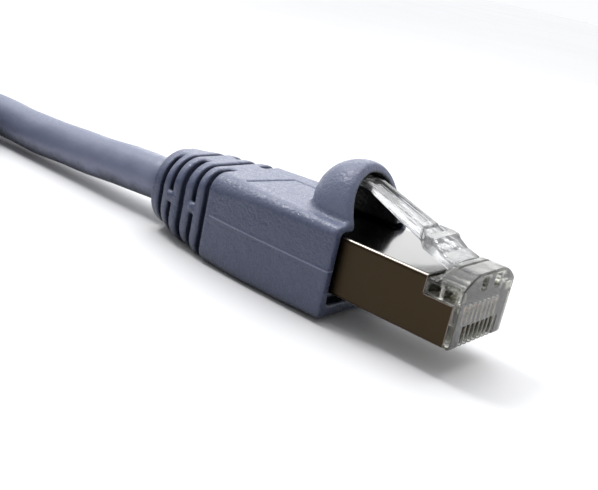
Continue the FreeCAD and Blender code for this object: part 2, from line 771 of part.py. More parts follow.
def make_coil():
    """The outer shape of the stored turns, its entry and the half turn that leaves it."""
    body = new_body("cable_coil", Placement(coil_centre(), Rotation()))
    inner = "sizes.coil_radius - sizes.coil_step / 2 - sizes.cable_thick / 2"
    outer = "sizes.coil_radius + sizes.coil_step / 2 + sizes.cable_thick / 2"

    leaving = new_sketch(body, "XY_Plane", "leaving_turn", "sizes.coil_lift")
    add_circle(leaving, "0", "0", outer + " + sizes.coil_step")
    add_circle(leaving, "0", "0", outer + " - 0.5")
    pad(body, leaving, "sizes.cable_thick")
    unused = new_sketch(body, "XY_Plane", "unused_part")
    far = "2 * sizes.coil_radius"
    add_polygon(unused, [
        ("0", f"-{far}"), (far, f"-{far}"), (far, far), (f"-{far}", far), (f"-{far}", outer),
        ("0", outer),
    ])
    pocket(body, unused, "2 * sizes.coil_step", reverse=True)

    ring = new_sketch(body, "XY_Plane", "ring", "sizes.coil_lift")
    add_circle(ring, "0", "0", outer)
    add_circle(ring, "0", "0", inner)
    pad(body, ring, "sizes.cable_thick + sizes.coil_step")

    entry = new_sketch(body, "YZ_Plane", "entry")
    add_circle(
        entry, "sizes.coil_radius + sizes.coil_step / 2", "sizes.coil_lift + sizes.cable_thick / 2",
        "sizes.cable_thick / 2",
    )
    pad(body, entry, "sizes.coil_distance - sizes.coil_entry")


def make_strap():
    """The strap round the stored turns, on the side nearest the plugs."""
    body = new_body("coil_tie", Placement(coil_centre(), Rotation()))
    bulge = size("coil_radius") - math.hypot(size("coil_radius"), size("strap_width") / 2)
    inner = f"sizes.coil_radius - sizes.coil_step / 2 - sizes.cable_thick / 2 + {bulge:.3f} - 0.2"
    outer = "sizes.coil_radius + sizes.coil_step / 2 + sizes.cable_thick / 2"
    high = "sizes.coil_lift + sizes.cable_thick + sizes.coil_step"
    strap = new_sketch(body, "XZ_Plane", "strap")
    for wall in ("sizes.strap_thick", "0"):
        add_rectangle(
            strap, f"{inner} - {wall}", f"{outer} + {wall}",
            f"sizes.coil_lift - {wall}", f"{high} + {wall}",
        )
    pad(body, strap, "sizes.strap_width", midplane=True)


# ---------------------------------------------------------------- build, check and write


def make_plug(end, place):
    for make in (
        make_housing, make_latch, make_shield, make_contacts, make_load_bar, make_wires,
        make_cable_end, make_boot,
    ):
        make(end, place)


def check_and_write():
    document.recompute()
    for thing in document.Objects:
        if "Invalid" in thing.State or "Error" in thing.State:
            raise RuntimeError(f"{thing.Name} {thing.State}")
    os.makedirs("parts", exist_ok=True)
    for piece in finished:
        shape = piece.Shape
        if shape.isNull() or not shape.isValid() or shape.Volume <= 0:
            raise RuntimeError(f"{piece.Label} is not a good solid")
        shape.exportStep(f"parts/{piece.Label}.step")
        box = shape.BoundBox
        print(
            f"{piece.Label:26s} solids {len(shape.Solids)}  volume {shape.Volume:10.2f}  "
            f"x {box.XMin:8.2f} {box.XMax:8.2f}  y {box.YMin:8.2f} {box.YMax:8.2f}  "
            f"z {box.ZMin:6.2f} {box.ZMax:6.2f}"
        )


fill_sheet()
PLUG_MIDDLE = size("boot_end") / 2
LIFT = size("plug_lift")
make_plug("near", Placement(Vector(PLUG_MIDDLE, 0, LIFT), Rotation()))
make_cable()
make_coil()
make_strap()
far_place = Vector(
    size("boot_end") - size("far_boot_distance"), 2 * coil_centre().y - size("coil_step"), LIFT
)
make_plug("far", Placement(far_place, Rotation()))
check_and_write()
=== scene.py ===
import json
import math

import bpy
import numpy as np
from mathutils import Matrix, Vector


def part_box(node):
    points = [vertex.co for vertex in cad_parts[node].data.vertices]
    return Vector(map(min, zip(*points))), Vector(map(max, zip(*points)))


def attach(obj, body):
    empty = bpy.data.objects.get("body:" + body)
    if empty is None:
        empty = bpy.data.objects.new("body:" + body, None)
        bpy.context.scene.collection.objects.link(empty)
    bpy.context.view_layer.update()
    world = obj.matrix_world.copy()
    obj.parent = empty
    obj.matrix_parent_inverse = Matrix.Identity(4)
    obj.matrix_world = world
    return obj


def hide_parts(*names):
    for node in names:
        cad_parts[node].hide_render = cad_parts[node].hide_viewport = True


# A shielded patch lead. Curved mouldings are made as smooth distance fields in the plug's own
# frame, in millimetres: the nose face is x = 0, y = 0 is the mid-plane and z = 0 is the underside.
# Each field becomes one mesh, which both ends of the lead share.

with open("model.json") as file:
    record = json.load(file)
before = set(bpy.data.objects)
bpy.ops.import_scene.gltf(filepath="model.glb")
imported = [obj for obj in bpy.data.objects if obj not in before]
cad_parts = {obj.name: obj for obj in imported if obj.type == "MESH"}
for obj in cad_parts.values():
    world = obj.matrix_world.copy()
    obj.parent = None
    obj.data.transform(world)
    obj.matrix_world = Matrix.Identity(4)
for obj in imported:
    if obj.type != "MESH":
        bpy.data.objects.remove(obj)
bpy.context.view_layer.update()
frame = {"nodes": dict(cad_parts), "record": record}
MM = 0.001
ENDS = ("near", "far")
WIRES = {
    "white_orange": (0.80, 0.62, 0.46), "orange": (0.80, 0.22, 0.03),
    "white_green": (0.55, 0.76, 0.56), "blue": (0.04, 0.12, 0.55),
    "white_blue": (0.52, 0.62, 0.80), "green": (0.03, 0.32, 0.10),
    "white_brown": (0.68, 0.56, 0.46), "brown": (0.18, 0.07, 0.03),
}

BOOT_FRONT = -15.5
BOOT_END = -47.2
SHELL_HALF = 5.88
SHELL_TOP = 6.92
CABLE_RADIUS = 3.1


def plug_place(end):
    """The plug frame's origin in the part's frame, in millimetres."""
    low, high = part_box(f"{end}_plug_housing")
    return Vector((high[0], (low[1] + high[1]) / 2, low[2])) / MM


# ---------------------------------------------------------------- camera


VIEW_AZIMUTH = 35.825
VIEW_ELEVATION = 17.785
VIEW_ROLL = 12.508
VIEW_POINT = (-20, 0, 4)
VIEW_DISTANCE = 108.02
VIEW_SIDESTEP = 4.69
VIEW_DROP = 0.35


def make_camera():
    """The view is held by a point in the plug, a direction towards the viewer and a roll."""
    data = bpy.data.cameras.new("camera")
    camera = bpy.data.objects.new("camera", data)
    bpy.context.collection.objects.link(camera)
    azimuth = math.radians(VIEW_AZIMUTH)
    elevation = math.radians(VIEW_ELEVATION)
    roll = math.radians(VIEW_ROLL)
    back = Vector((
        math.sin(azimuth) * math.cos(elevation),
        -math.cos(azimuth) * math.cos(elevation),
        math.sin(elevation),
    ))
    level = Vector((math.cos(azimuth), math.sin(azimuth), 0))
    upright = back.cross(level)
    right = level * math.cos(roll) + upright * math.sin(roll)
    up = upright * math.cos(roll) - level * math.sin(roll)
    aim = plug_place("near") + Vector(VIEW_POINT)
    place = aim + back * VIEW_DISTANCE - right * VIEW_SIDESTEP - up * VIEW_DROP
    turn = Matrix((right, up, back)).transposed().to_4x4()
    camera.matrix_world = Matrix.Translation(place * MM) @ turn
    data.sensor_width = 36
    data.lens = 54.7
    data.clip_start = 0.005
    data.clip_end = 10
    bpy.context.scene.camera = camera


# ---------------------------------------------------------------- meshes


def add_object(name, data):
    thing = bpy.data.objects.new(name, data)
    bpy.context.collection.objects.link(thing)
    return thing


def mesh_from(name, points, faces):
    mesh = bpy.data.meshes.new(name)
    mesh.from_pydata([tuple(p) for p in points], [], [tuple(f) for f in faces])
    mesh.validate()
    mesh.polygons.foreach_set("use_smooth", [True] * len(mesh.polygons))
    return mesh


def smooth_max(a, b, blend):
    """The larger of two distances, with the corner between them rounded off."""
    near = np.maximum(blend - np.abs(a - b), 0) / blend
    return np.maximum(a, b) + near * near * blend / 4


def smooth_min(a, b, blend):
    return -smooth_max(-a, -b, blend)


def slab(value, low, high):
    return np.maximum(low - value, value - high)


def block(x, y, z, x_span, y_span, z_span, rounding=0.2):
    """Distance to a box with rounded edges."""
    outside = 0
    deepest = -np.inf
    for value, (low, high) in ((x, x_span), (y, y_span), (z, z_span)):
        reach = slab(value, low + rounding, high - rounding)
        outside = outside + np.maximum(reach, 0) ** 2
        deepest = np.maximum(deepest, reach)
    return np.sqrt(outside) + np.minimum(deepest, 0) - rounding


def distance_to_line(a, b, corners):
    """Distance to an open line of straight runs in a plane."""
    nearest = np.inf
    for (a0, b0), (a1, b1) in zip(corners, corners[1:]):
        ea, eb = a1 - a0, b1 - b0
        along = np.clip(((a - a0) * ea + (b - b0) * eb) / (ea * ea + eb * eb), 0, 1)
        nearest = np.minimum(nearest, (a - a0 - ea * along) ** 2 + (b - b0 - eb * along) ** 2)
    return np.sqrt(nearest)


def polygon(a, b, corners):
    """Signed distance to a closed outline in a plane."""
    loop = corners + corners[:1]
    crossing = np.zeros(np.shape(a), bool)
    for (a0, b0), (a1, b1) in zip(loop, loop[1:]):
        if b1 != b0:
            crossing ^= ((b0 > b) != (b1 > b)) & (a < a0 + (b - b0) * (a1 - a0) / (b1 - b0))
    return np.where(crossing, -1, 1) * distance_to_line(a, b, loop)


def edge_average(value, low, step):
    """Where the surface cuts each grid cell: the mean of the crossings on the cell's edges."""
    shape = np.array(value.shape) - 1
    total = np.zeros((*shape, 3))
    count = np.zeros(shape)
    for axis in range(3):
        others = [k for k in range(3) if k != axis]
        for first in (0, 1):
            for second in (0, 1):
                start = [0, 0, 0]
                start[others[0]] = first
                start[others[1]] = second
                stop = list(start)
                stop[axis] = 1
                v0 = value[tuple(slice(s, s + n) for s, n in zip(start, shape))]
                v1 = value[tuple(slice(s, s + n) for s, n in zip(stop, shape))]
                cut = (v0 < 0) != (v1 < 0)
                share = np.where(cut, v0 / np.where(cut, v0 - v1, 1), 0)
                total[..., axis] += share
                total[..., others[0]] += first * cut
                total[..., others[1]] += second * cut
                count += cut
    used = count > 0
    cells = np.argwhere(used)
    points = low + (cells + total[used] / count[used][:, None]) * step
    number = np.full(tuple(shape), -1)
    number[used] = np.arange(len(cells))
    return points, number


def grid_faces(value, number):
    """One four-sided face for each grid edge that the surface crosses."""
    faces = []
    inside = value < 0
    for axis in range(3):
        b, c = [(1, 2), (2, 0), (0, 1)][axis]
        first = np.take(inside, range(inside.shape[axis] - 1), axis)
        second = np.take(inside, range(1, inside.shape[axis]), axis)
        edges = np.argwhere(first != second)
        last = np.array(number.shape)
        keep = np.all((edges[:, [b, c]] > 0) & (edges[:, [b, c]] < last[[b, c]]), axis=1)
        edges = edges[keep]
        corners = []
        for db, dc in ((-1, -1), (0, -1), (0, 0), (-1, 0)):
            cell = edges.copy()
            cell[:, b] += db
            cell[:, c] += dc
            corners.append(number[tuple(cell.T)])
        quads = np.stack(corners, 1)
        leaving = first[tuple(edges.T)]
        quads[~leaving] = quads[~leaving][:, ::-1]
        faces.append(quads)
    return np.concatenate(faces)


def mesh_of_field(name, field, low, high, step):
    """A smooth mesh of the surface where a distance field is zero, moved onto that surface."""
    low = np.array(low, float) - 2 * step
    axes = [np.arange(a, b + 2 * step, step) for a, b in zip(low, high)]
    value = field(*np.meshgrid(*axes, indexing="ij"))
    points, number = edge_average(value, low, step)
    faces = grid_faces(value, number)
    probe = step / 4
    for _ in range(2):
        here = field(*points.T)
        slope = np.stack([
            (field(*(points + probe * axis).T) - field(*(points - probe * axis).T)) / (2 * probe)
            for axis in np.eye(3)
        ], 1)
        size = np.maximum((slope ** 2).sum(1), 0.25)
        move = -slope * (here / size)[:, None]
        points = points + np.clip(move, -step / 2, step / 2)
    return mesh_from(name, points * MM, faces)


def show_at_both_ends(mesh, node, material, body):
    """Puts a plug piece at each end of the lead in place of its CAD solid."""
    made = {}
    for end in ENDS:
        piece = add_object(f"{end}_{mesh.name}", mesh)
        piece.location = plug_place(end) * MM
        piece.data.materials.clear()
        piece.data.materials.append(material)
        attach(piece, body.format(end))
        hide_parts(f"{end}_{node}")
        made[end] = piece
    return made


# ---------------------------------------------------------------- the boot's shape

# Outline of the boot at a few places along it: x, half width, underside, top, and the radii of
# the upper and lower corners.
BOOT_OUTLINE = np.array([
    (-47.2, 5.35, -3.05, 7.45, 4.8, 4.6),
    (-40.6, 6.45, -3.40, 7.95, 3.7, 3.3),
    (-34.4, 7.15, -3.40, 8.18, 2.4, 1.7),
    (-25.0, 7.42, -3.20, 8.20, 1.5, 1.0),
    (-15.5, 7.42, -2.90, 8.20, 1.2, 0.7),
])
BOOT_TOP = 8.2

# Slots between the ribs, half the size of the bridge left across each one, and the raised pips at
# the bridges on the flanks.
RIB_SLOTS = 5
RIB_PITCH = 2.3
FIRST_RIB_SLOT = -45.1
SLOT_HALF = 0.42
SLOT_DEEP = 1.05
FLANK_BRIDGE = 0.5
TOP_BRIDGE = 2.6
PIP_RADIUS = 0.62
PIP_INSET = 0.35
PIP_RISE = 0.45

# The hood is a dome on upright walls, cut off in front by a plane that leans back. LEAN_NORMAL is
# the length of that plane's normal.
HOOD_CENTRE = -18.4
HOOD_SPRING = 9.2
HOOD_RADIUS = 5.4
HOOD_WALL = 1.15
HOOD_FOOT = 6
HOLLOW_FOOT = 6.5
HOOD_LEAN = 0.32
LEAN_NORMAL = 1.05

# The mould's closing line is a low ridge, and the panel on the top is outlined by a groove.
SEAM_HEIGHT = 2.92
SEAM_START = -34.6
SEAM_WIDTH = 0.13
SEAM_RISE = 0.08
PANEL_LINE = [(-31.5, -4.9), (-30.4, 2.8), (-18.0, 3.0)]
PANEL_WIDTH = 0.2
PANEL_DEEP = 0.28

# Boxes are spans in x, y and z, and the rounding of their edges.
BOOT_SOCKET = ((-24, 0), (-6.15, 6.15), (-0.5, 7.3), 0.4)
BOOT_MOUTH = ((-17.2, 0), (-6.15, 6.15), (-1.35, 7.3), 0.5)
CABLE_HEIGHT = 2.05
BORE_GAP = 0.06
BORE_FRONT = -41


def along_boot(x, column):
    """One size of the boot's outline, by a smooth curve through the given places."""
    places = BOOT_OUTLINE[:, 0]
    sizes = BOOT_OUTLINE[:, column]
    slopes = np.gradient(sizes, places)
    k = np.clip(np.searchsorted(places, x) - 1, 0, len(places) - 2)
    run = places[k + 1] - places[k]
    t = np.clip((x - places[k]) / run, 0, 1)
    rise = sizes[k + 1] - sizes[k]
    curve = t * t * (3 - 2 * t)
    early = slopes[k] - rise / run
    late = slopes[k + 1] - rise / run
    bow = t * (1 - t) * run * ((1 - t) * early - t * late)
    return sizes[k] + rise * curve + bow


def dome(x, y, z, radius):
    """A round-backed hood with upright sides, open towards the nose."""
    back = np.minimum(x - HOOD_CENTRE, 0)
    above = np.maximum(z - HOOD_SPRING, 0)
    return np.sqrt(back ** 2 + y ** 2 + above ** 2) - radius


def rib_slots(x, y, z, skin, middle):
    """Slots that run by turns down the flanks and over the top and bottom."""
    slots = np.full(x.shape, 99.0)
    for number in range(RIB_SLOTS):
        centre = FIRST_RIB_SLOT + number * RIB_PITCH
        cut = smooth_max(np.abs(x - centre) - SLOT_HALF, -(skin + SLOT_DEEP), 0.25)
        if number % 2:
            cut = smooth_max(cut, FLANK_BRIDGE - np.abs(z - middle), 0.3)
        else:
            cut = smooth_max(cut, TOP_BRIDGE - np.abs(y), 0.6)
        slots = np.minimum(slots, cut)
    return slots


def rib_bumps(x, y, z, middle):
    """The small raised pip at the upper end of each bridge between two ribs."""
    bumps = np.full(x.shape, 99.0)
    for number in range(1, RIB_SLOTS, 2):
        centre = FIRST_RIB_SLOT + number * RIB_PITCH
        side = along_boot(np.array([centre]), 1)[0]
        out = np.abs(y) - side + PIP_INSET
        up = z - middle - PIP_RISE
        reach = np.sqrt((x - centre) ** 2 + out ** 2 + up ** 2)
        bumps = np.minimum(bumps, reach - PIP_RADIUS)
    return bumps


def boot_field(x, y, z):
    half, low, high, top_round, low_round = (along_boot(x, k) for k in range(1, 6))
    middle = (low + high) / 2
    rounding = np.where(z > middle, top_round, low_round)
    reach_y = np.abs(y) - half + rounding
    reach_z = np.abs(z - middle) - (high - low) / 2 + rounding
    skin = np.hypot(np.maximum(reach_y, 0), np.maximum(reach_z, 0))
    skin = skin + np.minimum(np.maximum(reach_y, reach_z), 0) - rounding
    ridge = np.exp(-((z - SEAM_HEIGHT) / SEAM_WIDTH) ** 2) * np.clip((x - SEAM_START) / 2, 0, 1)
    skin = skin - SEAM_RISE * ridge
    groove = np.exp(-(distance_to_line(x, y, PANEL_LINE) / PANEL_WIDTH) ** 2)
    skin = skin + PANEL_DEEP * groove * (z > middle)

    body = smooth_max(skin, slab(x, BOOT_END, BOOT_FRONT), 0.6)
    body = smooth_max(body, -rib_slots(x, y, z, skin, middle), 0.5)
    body = smooth_min(body, rib_bumps(x, y, z, middle), 0.35)

    lean = (x - BOOT_FRONT + HOOD_LEAN * (z - BOOT_TOP)) / LEAN_NORMAL
    hood = smooth_max(dome(x, y, z, HOOD_RADIUS), lean, 0.9)
    hood = np.maximum(hood, HOOD_FOOT - z)
    body = smooth_min(body, hood, 0.9)
    body = smooth_max(body, np.maximum(x - BOOT_FRONT, lean), 0.35)

    socket = block(x, y, z, *BOOT_SOCKET)
    mouth = block(x, y, z, *BOOT_MOUTH)
    hollow = np.maximum(dome(x, y, z, HOOD_RADIUS - HOOD_WALL), HOLLOW_FOOT - z)
    for space in (socket, mouth, hollow):
        body = smooth_max(body, -space, 0.35)
    bore = np.hypot(y, z - CABLE_HEIGHT) - CABLE_RADIUS - BORE_GAP
    bore = np.maximum(bore, x - BORE_FRONT)
    return smooth_max(body, -bore, 0.2)


# ---------------------------------------------------------------- the plug's shapes


# The nose block, and the planes that slope off its upper corners: share of the half width, share
# of the height, distance.
NOSE_REAR = -4.4
NOSE_HALF = 5.84
NOSE_TOP = 8.2
NOSE_SLOPES = ((0.576, 0.818, 8.83), (0.356, 0.934, 8.80))

# The step that the latch grows from, and the step that the shell's edge lies in.
SEAT_FRONT = -3.3
SEAT_BASE = 6.68
STEP_FRONT = -0.65
STEP_TOP = 4.83
HOUSING_HALF = 5.58

# Boxes added to the housing, or cut from it on both sides of its mid-plane.
REAR_BODY = ((-21.5, -4.0), (-HOUSING_HALF, HOUSING_HALF), (0.3, 6.62), 0.25)
BELLY = ((-7.2, -4.0), (-HOUSING_HALF, HOUSING_HALF), (0, 2), 0.1)
WIRE_SPACE = ((-23, -9.2), (-4.9, 4.9), (0.95, 5.9), 0.4)
WINDOW_FRONTS = (-0.7, -2.6)
WINDOW_LONG = 1.4
WINDOW_DEEP = (4.34, 7)
WINDOW_HIGH = (5.15, 6.2)
BROW_POCKET = ((-1.6, 1), (0.9, 2.0), (6.28, 7.7), 0.15)
SCORE_LINE = ((-2.45, -2.25), (-1, 7), (8.0, 9), 0.05)

# Eight lanes side by side. Cuts from below: half width, span in x, top.
CONTACT_PITCH = 1.02
ROW_HALF = 4.08
CONTACT_SLOT = (0.3, (-6.3, 1), 2.4)
BLADE_SLOT = (0.18, (-6.05, -1.15), 4.2)
WIRE_RADIUS = 0.48
WIRE_HEIGHT = 4.2
WIRE_REACH = (-9.7, -1.2)


def cut_from_below(across, x, z, half, reach, top):
    return np.maximum(np.maximum(across - half, slab(x, *reach)), z - top)


def housing_field(x, y, z):
    wide = np.abs(y)
    nose = slab(x, NOSE_REAR, 0)
    nose = smooth_max(nose, slab(z, 0, NOSE_TOP), 0.3)
    nose = smooth_max(nose, wide - NOSE_HALF, 0.3)
    for share_wide, share_high, distance in NOSE_SLOPES:
        nose = smooth_max(nose, share_wide * wide + share_high * z - distance, 0.25)
    seat = np.maximum(x - SEAT_FRONT, SEAT_BASE - z)
    nose = smooth_max(nose, -seat, 0.2)
    flank = np.maximum(np.maximum(x - STEP_FRONT, HOUSING_HALF - wide), z - STEP_TOP)
    nose = smooth_max(nose, -flank, 0.12)
    rear = block(x, y, z, *REAR_BODY)
    belly = block(x, y, z, *BELLY)
    body = np.minimum(smooth_min(nose, rear, 0.1), belly)

    body = smooth_max(body, -block(x, y, z, *WIRE_SPACE), 0.2)
    for front in WINDOW_FRONTS:
        window = block(x, wide, z, (front - WINDOW_LONG, front), WINDOW_DEEP, WINDOW_HIGH, 0.22)
        body = smooth_max(body, -window, 0.15)
    body = smooth_max(body, -block(x, wide, z, *BROW_POCKET), 0.15)
    body = smooth_max(body, -block(x, wide, z, *SCORE_LINE), 0.1)

    lane = np.abs(y / CONTACT_PITCH - np.round(y / CONTACT_PITCH - 0.5) - 0.5) * CONTACT_PITCH
    slot = cut_from_below(lane, x, z, *CONTACT_SLOT)
    blade = cut_from_below(lane, x, z, *BLADE_SLOT)
    channel = np.maximum(np.hypot(lane, z - WIRE_HEIGHT) - WIRE_RADIUS, slab(x, *WIRE_REACH))
    cuts = np.maximum(np.minimum(np.minimum(slot, blade), channel), wide - ROW_HALF)
    return smooth_max(body, -cuts, 0.08)


# The lever's side outline: from its root up to the knee, back along the slope, then underneath.
LATCH_KNEE = (-7.6, 9.95)
LATCH_BEND = (-16.8, 12.7)
LATCH_SIDE = [
    (-3.35, 7.05), (-3.35, 8.2), (-5.0, 8.65), (-6.1, 9.3), (-6.5, 9.8), LATCH_KNEE,
    LATCH_BEND, (-18.8, 12.7), (-18.8, 11.85), (-16.8, 11.85), (-11.2, 9.6), (-7.6, 8.3),
]
LATCH_RISE = (LATCH_BEND[1] - LATCH_KNEE[1]) / (LATCH_KNEE[0] - LATCH_BEND[0])
LATCH_SLOPE_RUN = 9.2
LATCH_HALF = 3.0
LATCH_NARROWING = 1.2
NARROWING_START = -7.2
NARROWING_RUN = 1.6

# The hollow under the lever, and the two in its top: half width, depth, span in x.
UNDER_HALF = 0.95
UNDER_BASE = 8.65
UNDER_SLOPE = 0.318
UNDER_SKIN = 0.05
UNDER_REACH = (-16.2, -8.3)
TOP_HOLLOWS = ((0.9, 0.32, (-17.6, -9.4)), (1.7, 0.3, (-8.6, -7.5)))


def latch_field(x, y, z):
    side = polygon(x, z, LATCH_SIDE)
    narrow = np.clip((NARROWING_START - x) / NARROWING_RUN, 0, 1)
    half = LATCH_HALF - LATCH_NARROWING * narrow * narrow * (3 - 2 * narrow)
    body = smooth_max(side, np.abs(y) - half, 0.35)
    behind_knee = LATCH_KNEE[0] - x
    under = UNDER_BASE + UNDER_SLOPE * np.maximum(behind_knee, 0)
    channel = np.maximum(np.abs(y) - UNDER_HALF, z - under - UNDER_SKIN)
    cuts = [np.maximum(channel, slab(x, *UNDER_REACH))]
    top = LATCH_KNEE[1] + LATCH_RISE * np.clip(behind_knee, 0, LATCH_SLOPE_RUN)
    for half_wide, deep, reach in TOP_HOLLOWS:
        hollow = np.maximum(np.abs(y) - half_wide, top - deep - z)
        cuts.append(np.maximum(hollow, slab(x, *reach)))
    for cut in cuts:
        body = smooth_max(body, -cut, 0.2)
    return body


SHELL_REACH = (-21.8, -0.7)
SHELL_HOLLOW = (-21.55, 1)
SHELL_BEND = 0.42
SHELL_WALL = 0.25

# The shell is cut away round the nose's flanks above one height, and under the contacts.
NOTCH_REAR = -4.45
NOTCH_BASE = 4.78
OPENING_REAR = -7.25
OPENING_TOP = 0.6
OPENING_HALF = 5.63

BARREL_HEIGHT = 3.3
BARREL_RADIUS = 3.8
BARREL_BORE = 3.55
BARREL_REACH = (-27.4, -21.7)
BORE_REACH = (-29, -20)


def shell_field(x, y, z):
    wide = np.abs(y)
    half_high = SHELL_TOP / 2
    across = np.maximum(wide - SHELL_HALF + SHELL_BEND, 0)
    up = np.maximum(np.abs(z - half_high) - half_high + SHELL_BEND, 0)
    inner_part = np.maximum(wide - SHELL_HALF, np.abs(z - half_high) - half_high) + SHELL_BEND
    section = np.hypot(across, up) + np.minimum(inner_part, 0) - SHELL_BEND
    outer = smooth_max(section, slab(x, *SHELL_REACH), 0.1)
    hollow = np.maximum(section + SHELL_WALL, slab(x, *SHELL_HOLLOW))
    body = smooth_max(outer, -hollow, 0.06)
    notch = np.maximum(NOTCH_REAR - x, NOTCH_BASE - z)
    body = smooth_max(body, -notch, 0.08)
    opening = np.maximum(np.maximum(OPENING_REAR - x, z - OPENING_TOP), wide - OPENING_HALF)
    body = smooth_max(body, -opening, 0.05)
    radius = np.hypot(y, z - BARREL_HEIGHT)
    barrel = np.maximum(radius - BARREL_RADIUS, slab(x, *BARREL_REACH))
    body = np.minimum(body, barrel)
    bore = np.maximum(radius - BARREL_BORE, slab(x, *BORE_REACH))
    return smooth_max(body, -bore, 0.06)


# ---------------------------------------------------------------- materials

# Colours of the boot and of the jacket where they face down, sideways and up: painted shade
# underneath and painted light on top.
BOOT_LIT_AND_SHADED_TONES = ((0.040, 0.044, 0.068), (0.061, 0.074, 0.130), (0.160, 0.179, 0.268))
JACKET_LIT_AND_SHADED_TONES = ((0.018, 0.020, 0.026), (0.165, 0.182, 0.270), (0.225, 0.246, 0.340))
BOOT_SEAM = (0.26, 0.275, 0.38)
# Painted shade: the near-black colour inside the hood.
HOOD_HOLLOW_PAINTED_SHADE = (0.020, 0.021, 0.023)
# Painted shade on the walls of the housing's windows.
WINDOW_PAINTED_SHADE = (0.100, 0.094, 0.052)

# Darker and lighter colours that a grain or a flow mark mixes.
CLEAR_HOUSING = ((0.42, 0.42, 0.38), (0.62, 0.62, 0.57))
CLEAR_LATCH = ((0.62, 0.63, 0.63), (0.80, 0.80, 0.81))
GOLD = ((0.72, 0.46, 0.13), (0.95, 0.70, 0.28))
COPPER = ((0.62, 0.26, 0.13), (0.86, 0.42, 0.24))
FOIL = ((0.62, 0.62, 0.64), (0.86, 0.86, 0.88))
BRAID = ((0.25, 0.24, 0.23), (0.72, 0.70, 0.68))
STRAP_PILE = ((0.006, 0.006, 0.008), (0.045, 0.045, 0.052))
FLOOR = ((0.83, 0.83, 0.84), (0.86, 0.86, 0.87))

# The shell's colour from its top and bottom plates to its flanks: a painted highlight on its bends
# and a painted dark bronze reflection on its flanks.
SHELL_PAINTED_REFLECTION_TONES = [
    (0.10, (0.20, 0.20, 0.195)), (0.55, (0.42, 0.38, 0.34)), (0.93, (0.054, 0.038, 0.023)),
    (1.0, (0.045, 0.032, 0.019)),
]

# Painted shade: slots and other hollows are darkened where other surfaces lie within this
# distance, in metres, to a share of the flank colour; the wires' insulation is darkened underneath
# by a share of its colour.
SLOT_SHADE_DISTANCE = 0.005
SLOT_PAINTED_SHADE = 0.3
UNDERSIDE_PAINTED_SHADE = 0.72

# Where a colour fades in or out, in millimetres: distances from the seam, heights on the hood over
# which its painted light fades in, and distances out from the hood's inner wall over which its
# painted shade fades out.
SEAM_FADE = (0.03, 0.13)
HOOD_FADE = (8.2, 9.2)
HOOD_WALL_FADE = (0.1, 0.4)

# The walls of the housing's windows, which get painted shade, in the plug frame.
WINDOW_X = (-4.08, -0.62)
WINDOW_Z = (5.07, 6.28)
WINDOW_FLOOR = 4.3
HOUSING_FLANK = (5.6, 5.7)


def new_material(name):
    material = bpy.data.materials.new(name)
    material.use_nodes = True
    tree = material.node_tree
    return material, tree, tree.nodes["Principled BSDF"]


def link(tree, source, target):
    tree.links.new(source, target)


def object_place(tree):
    return tree.nodes.new("ShaderNodeTexCoord").outputs["Object"]


def object_axes(tree):
    place = tree.nodes.new("ShaderNodeSeparateXYZ")
    link(tree, object_place(tree), place.inputs["Vector"])
    return [place.outputs[axis] for axis in "XYZ"]


def base_colour(shader):
    """The socket that gives a material its colour so far."""
    return shader.inputs["Base Color"].links[0].from_socket


def noise(tree, scale, detail=3.0, roughness=0.55):
    """Noise in the object's own frame; scale counts patches to a metre."""
    node = tree.nodes.new("ShaderNodeTexNoise")
    node.inputs["Scale"].default_value = scale
    node.inputs["Detail"].default_value = detail
    node.inputs["Roughness"].default_value = roughness
    link(tree, object_place(tree), node.inputs["Vector"])
    return node.outputs["Fac"]


def ramp(tree, value, stops):
    node = tree.nodes.new("ShaderNodeValToRGB")
    elements = node.color_ramp.elements
    while len(elements) < len(stops):
        elements.new(0.5)
    for element, (place, colour) in zip(elements, stops):
        element.position = place
        element.color = (*colour, 1)
    link(tree, value, node.inputs["Fac"])
    return node.outputs["Color"]


def to_range(tree, value, low, high, new_low, new_high):
    node = tree.nodes.new("ShaderNodeMapRange")
    for name, number in (
        ("From Min", low), ("From Max", high), ("To Min", new_low), ("To Max", new_high),
    ):
        node.inputs[name].default_value = number
    link(tree, value, node.inputs["Value"])
    return node.outputs["Result"]


def math_node(tree, operation, first, second=0):
    node = tree.nodes.new("ShaderNodeMath")
    node.operation = operation
    for socket, value in zip(node.inputs, (first, second)):
        if isinstance(value, (int, float)):
            socket.default_value = value
        else:
            link(tree, value, socket)
    return node.outputs[0]


def bump(tree, shader, height, distance, strength=1.0, base=None):
    node = tree.nodes.new("ShaderNodeBump")
    node.inputs["Strength"].default_value = strength
    node.inputs["Distance"].default_value = distance
    link(tree, height, node.inputs["Height"])
    if base:
        link(tree, base, node.inputs["Normal"])
    link(tree, node.outputs["Normal"], shader.inputs["Normal"])
    return node.outputs["Normal"]


def facing(tree, axis):
    """How far the surface faces along one of the object's own axes, from -1 to 1."""
    split = tree.nodes.new("ShaderNodeSeparateXYZ")
    coordinates = tree.nodes.new("ShaderNodeTexCoord")
    link(tree, coordinates.outputs["Normal"], split.inputs["Vector"])
    return split.outputs[axis]


def blend_colours(tree, share, first, second):
    node = tree.nodes.new("ShaderNodeMix")
    node.data_type = "RGBA"
    link(tree, share, node.inputs["Factor"])
    for socket, colour in ((node.inputs["A"], first), (node.inputs["B"], second)):
        if isinstance(colour, tuple):
            socket.default_value = (*colour, 1)
        else:
            link(tree, colour, socket)
    return node.outputs["Result"]


